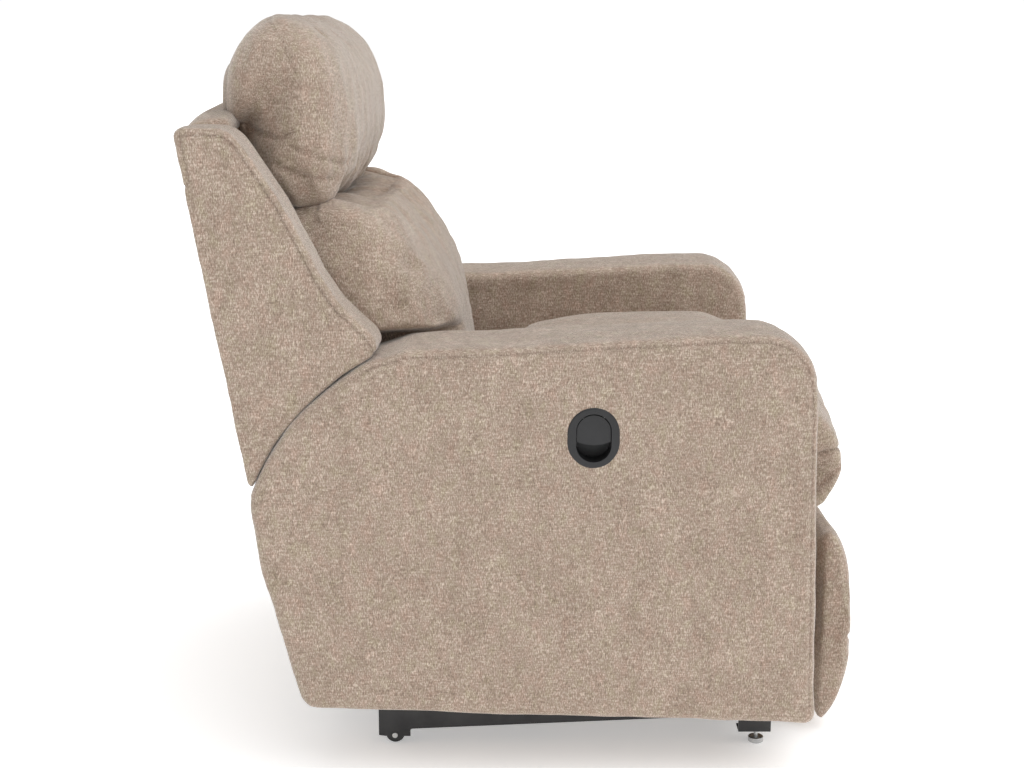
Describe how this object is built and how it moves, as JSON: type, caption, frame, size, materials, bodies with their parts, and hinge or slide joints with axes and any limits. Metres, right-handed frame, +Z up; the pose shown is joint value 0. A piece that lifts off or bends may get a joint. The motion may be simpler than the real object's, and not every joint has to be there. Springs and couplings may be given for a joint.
{
  "type": "recliner armchair",
  "caption": "Upholstered recliner armchair with track arms, padded head and lumbar cushions, fold-out footrest, side release handle, steel slide base and front levellers.",
  "frame": {"origin": "on the floor under the middle of the chair, at the centre of its bounding box's underside", "axes": "+Z up, the front of the chair faces -Y, the sitter's right hand is at -X"},
  "size_m": [0.868, 0.9575, 1.0657],
  "materials": {
    "chenille_fabric": "taupe chenille with a vertical ribbed, heathered weave and a soft sheen",
    "black_steel": "black semi-gloss enamel on pressed and rolled steel",
    "zinc_steel": "bright zinc plate",
    "wood": "raw plywood and softwood",
    "black_plastic": "satin black moulded plastic",
    "nylon": "black nylon",
    "spring_steel": "oiled spring wire"
  },
  "bodies": {
    "base": {"base_rail_left": "black_steel", "base_rail_right": "black_steel", "front_cross_tube": "black_steel", "middle_cross_tube": "black_steel", "rear_cross_tube": "black_steel", "wheel_bracket_left": "black_steel", "wheel_bracket_right": "black_steel", "leveller_bracket_left": "black_steel", "leveller_bracket_right": "black_steel", "recline_link_lugs": "black_steel", "wheel_axles": "zinc_steel"},
    "rear_wheel_right": {"rear_wheel_right": "nylon"},
    "rear_wheel_left": {"rear_wheel_left": "nylon"},
    "leveller_right": {"leveller_right": "zinc_steel"},
    "leveller_left": {"leveller_left": "zinc_steel"},
    "seat": {"carriage_plate_left": "black_steel", "carriage_plate_right": "black_steel", "roller_axles": "zinc_steel", "footrest_pivot_pins": "zinc_steel", "back_pivot_pins": "zinc_steel", "seat_side_rail_left": "wood", "seat_side_rail_right": "wood", "seat_front_rail": "wood", "seat_rear_rail": "wood", "frame_bolts": "zinc_steel", "seat_springs": "spring_steel", "seat_cushion": "chenille_fabric", "arm_cover_left": "chenille_fabric", "arm_cover_right": "chenille_fabric", "arm_frame_left": "wood", "arm_frame_right": "wood", "arm_bolts": "zinc_steel", "handle_bezel": "black_plastic", "paddle_pin": "zinc_steel", "latch_bracket": "black_steel", "rear_skirt": "chenille_fabric", "rear_flap": "chenille_fabric"},
    "front_rollers": {"front_rollers": "nylon"},
    "rear_rollers": {"rear_rollers": "nylon"},
    "recline_link": {"recline_links": "black_steel"},
    "back": {"back_frame": "wood", "back_panel": "chenille_fabric", "back_springs": "spring_steel", "wing_left": "chenille_fabric", "wing_right": "chenille_fabric", "back_bracket_left": "black_steel", "back_bracket_right": "black_steel", "recline_link_pins": "zinc_steel", "lumbar_cushion": "chenille_fabric", "head_cushion": "chenille_fabric"},
    "lift_link": {"footrest_lift_links": "black_steel", "torque_tube": "black_steel"},
    "guide_link": {"footrest_guide_links": "black_steel"},
    "cross_link": {"footrest_cross_links": "black_steel"},
    "lower_link": {"footrest_lower_links": "black_steel"},
    "footrest": {"footrest_brackets": "black_steel", "footrest_board": "wood", "footrest_pad": "chenille_fabric"},
    "paddle": {"handle_paddle": "black_plastic"},
    "latch": {"latch_pawl": "black_steel"}
  },
  "joints": [
    {"name": "recline_slide", "type": "slide", "parent": "base", "child": "seat", "axis": [0, -0.999, 0.045], "range_m": [0, 0.115]},
    {"name": "back_recline", "type": "hinge", "parent": "seat", "child": "back", "pos_m": [0, 0.225, 0.318], "axis": [-1, 0, 0], "range_deg": [0, 32.01], "deforming": ["rear_flap"]},
    {"name": "recline_link_swing", "type": "hinge", "parent": "base", "child": "recline_link", "pos_m": [0, 0.002, 0.076], "axis": [1, 0, 0], "range_deg": [0, 11.45]},
    {"name": "front_roller_spin", "type": "hinge", "parent": "seat", "child": "front_rollers", "pos_m": [0, -0.15, 0.05385], "axis": [1, 0, 0], "range_deg": [-2, 533]},
    {"name": "rear_roller_spin", "type": "hinge", "parent": "seat", "child": "rear_rollers", "pos_m": [0, 0.165, 0.03968], "axis": [1, 0, 0], "range_deg": [-2, 533]},
    {"name": "footrest_lift", "type": "hinge", "parent": "seat", "child": "lift_link", "pos_m": [0, -0.24, 0.325], "axis": [-1, 0, 0], "range_deg": [0, 116]},
    {"name": "guide_link_swing", "type": "hinge", "parent": "seat", "child": "guide_link", "pos_m": [0, -0.162, 0.305], "axis": [-1, 0, 0], "range_deg": [0, 116.01]},
    {"name": "cross_link_swing", "type": "hinge", "parent": "lift_link", "child": "cross_link", "pos_m": [0, -0.148, 0.194], "axis": [-1, 0, 0], "range_deg": [-116.01, 0]},
    {"name": "lower_link_swing", "type": "hinge", "parent": "lift_link", "child": "lower_link", "pos_m": [0, -0.10964, 0.13937], "axis": [-1, 0, 0], "range_deg": [-107.7, 0]},
    {"name": "footrest_turn", "type": "hinge", "parent": "cross_link", "child": "footrest", "pos_m": [0, -0.39058, 0.2562], "axis": [-1, 0, 0], "range_deg": [0, 81.3]},
    {"name": "handle_pull", "type": "hinge", "parent": "seat", "child": "paddle", "pos_m": [-0.427, -0.082, 0.528], "axis": [0, 1, 0], "range_deg": [0, 20], "stiffness_Nm_per_rad": 0.2, "springref_deg": -28.65},
    {"name": "latch_release", "type": "hinge", "parent": "seat", "child": "latch", "pos_m": [-0.222, -0.205, 0.292], "axis": [-1, 0, 0], "range_deg": [0, 14.1]},
    {"name": "rear_wheel_right_spin", "type": "hinge", "parent": "base", "child": "rear_wheel_right", "pos_m": [-0.294, 0.203, 0.014], "axis": [1, 0, 0], "continuous": true},
    {"name": "rear_wheel_left_spin", "type": "hinge", "parent": "base", "child": "rear_wheel_left", "pos_m": [0.294, 0.203, 0.014], "axis": [1, 0, 0], "continuous": true},
    {"name": "leveller_right_screw", "type": "slide", "parent": "base", "child": "leveller_right", "axis": [0, 0, 1], "range_m": [-0.006, 0.01]},
    {"name": "leveller_left_screw", "type": "slide", "parent": "base", "child": "leveller_left", "axis": [0, 0, 1], "range_m": [-0.006, 0.01]}
  ],
  "couplings": [
    {"joint": "back_recline", "follows": "recline_slide", "rad_per_m": 4.8566},
    {"joint": "recline_link_swing", "follows": "recline_slide", "rad_per_m": 1.732},
    {"joint": "front_roller_spin", "follows": "recline_slide", "rad_per_m": 80.645},
    {"joint": "rear_roller_spin", "follows": "recline_slide", "rad_per_m": 80.645},
    {"joint": "guide_link_swing", "follows": "footrest_lift", "ratio": 1},
    {"joint": "cross_link_swing", "follows": "footrest_lift", "ratio": -1},
    {"joint": "lower_link_swing", "follows": "footrest_lift", "ratio": -0.92785},
    {"joint": "footrest_turn", "follows": "footrest_lift", "ratio": 0.70052},
    {"joint": "latch_release", "follows": "handle_pull", "ratio": 0.7}
  ]
}
